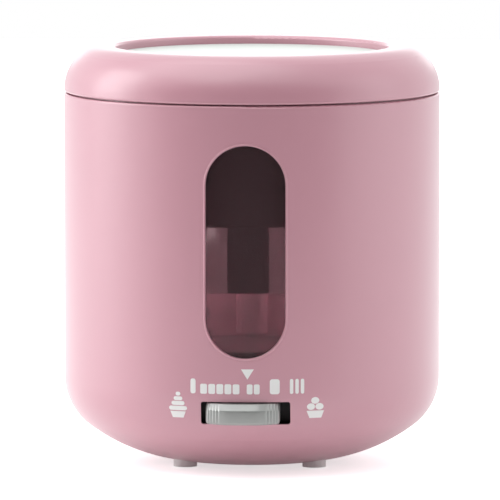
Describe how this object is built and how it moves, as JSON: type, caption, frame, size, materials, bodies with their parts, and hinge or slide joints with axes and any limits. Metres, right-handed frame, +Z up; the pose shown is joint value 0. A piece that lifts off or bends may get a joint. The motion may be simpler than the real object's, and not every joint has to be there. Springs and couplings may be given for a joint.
{
  "type": "ice cream maker",
  "caption": "Round household ice cream maker with a domed bottom, window, slide control, removable bowl and cold plate, and a lift-off lid with motor, feed chute and paddle.",
  "frame": {"origin": "on the table, under the centre of the whole object's outline", "axes": "+Z up, front (window and slider) towards -Y, +X to the right seen from the front"},
  "size_m": [0.19, 0.204, 0.2103],
  "materials": {
    "pink_shell": "satin",
    "pink_paddle": "satin",
    "white_cover": "satin",
    "charcoal_plastic": "matte",
    "silver_plastic": "satin metallic",
    "smoked_window": "clear, smoked",
    "clear_bowl": "clear, tinted",
    "grey_rubber": "matte",
    "pink_silicone": "matte",
    "foam": "matte",
    "aluminium": "satin",
    "pale_plastic": "matte",
    "gel": "matte",
    "steel": "brushed",
    "gear_plastic": "matte",
    "brass": "satin",
    "motor_core": "matte",
    "board": "matte",
    "capacitor_black": "satin",
    "white_silicone": "matte",
    "wire_red": "matte"
  },
  "bodies": {
    "housing": {"outer_shell": "pink_shell", "base_plate": "pink_shell", "foot_rear_right": "white_silicone", "foot_rear_left": "white_silicone", "foot_front_left": "white_silicone", "foot_front_right": "white_silicone", "base_screws": "steel", "inner_liner": "pink_shell", "window_lens": "smoked_window", "window_gasket": "grey_rubber", "window_frame": "pink_shell", "foam_sleeve": "foam", "slider_rail": "charcoal_plastic", "slide_switch": "charcoal_plastic", "control_board": "board", "inlet_socket": "charcoal_plastic", "inlet_pins": "steel", "power_board": "board", "transformer": "motor_core", "capacitors": "capacitor_black", "rear_wiring": "wire_red", "front_wiring": "wire_red", "contact_block": "charcoal_plastic", "contact_pins": "brass"},
    "slider": {"slider_button": "silver_plastic", "slider_carrier": "charcoal_plastic", "switch_lever": "charcoal_plastic"},
    "bowl": {"mixing_bowl": "clear_bowl", "cold_plate": "aluminium", "cold_tray": "pale_plastic", "coolant_gel": "gel", "filler_plug": "grey_rubber"},
    "lid": {"lid_shell": "pink_shell", "top_cover": "white_cover", "drive_housing": "charcoal_plastic", "bearing_sleeve": "charcoal_plastic", "feed_chute": "charcoal_plastic", "lid_gasket": "grey_rubber", "lid_screws": "steel", "contact_pads": "brass", "lid_leads": "wire_red", "gearbox_plate": "steel", "plate_screws": "steel", "motor_can": "steel", "motor_end_cap": "gear_plastic", "motor_magnets": "motor_core", "idler_pin": "steel", "output_bush": "brass", "shaft_seal": "grey_rubber", "flap_pin": "steel"},
    "flap": {"chute_flap": "white_cover"},
    "paddle_drive": {"output_gear": "gear_plastic", "output_shaft": "steel", "paddle": "pink_paddle", "paddle_scrapers": "pink_silicone"},
    "idler": {"compound_gear": "gear_plastic"},
    "motor": {"motor_rotor": "motor_core", "motor_pinion": "brass"}
  },
  "joints": [
    {"name": "slider_travel", "type": "slide", "parent": "housing", "child": "slider", "axis": [1, 0, 0], "range_m": [-0.0021, 0.0046]},
    {"name": "bowl_lift", "type": "slide", "parent": "housing", "child": "bowl", "axis": [0, 0, 1], "range_m": [0, 0.15]},
    {"name": "lid_lift", "type": "slide", "parent": "bowl", "child": "lid", "axis": [0, 0, 1], "range_m": [0, 0.14]},
    {"name": "flap_hinge", "type": "hinge", "parent": "lid", "child": "flap", "pos_m": [0, -0.0422, 0.2048], "axis": [-1, 0, 0], "range_deg": [0, 105]},
    {"name": "paddle_spin", "type": "hinge", "parent": "lid", "child": "paddle_drive", "pos_m": [0, 0, 0.104], "axis": [0, 0, 1], "continuous": true},
    {"name": "idler_spin", "type": "hinge", "parent": "lid", "child": "idler", "pos_m": [0.0198, 0.0198, 0.135], "axis": [0, 0, 1], "continuous": true},
    {"name": "motor_spin", "type": "hinge", "parent": "lid", "child": "motor", "pos_m": [-0.01329, 0.02563, 0.143], "axis": [0, 0, 1], "continuous": true}
  ],
  "couplings": [
    {"joint": "idler_spin", "follows": "paddle_spin", "ratio": -4},
    {"joint": "motor_spin", "follows": "paddle_spin", "ratio": 20}
  ]
}
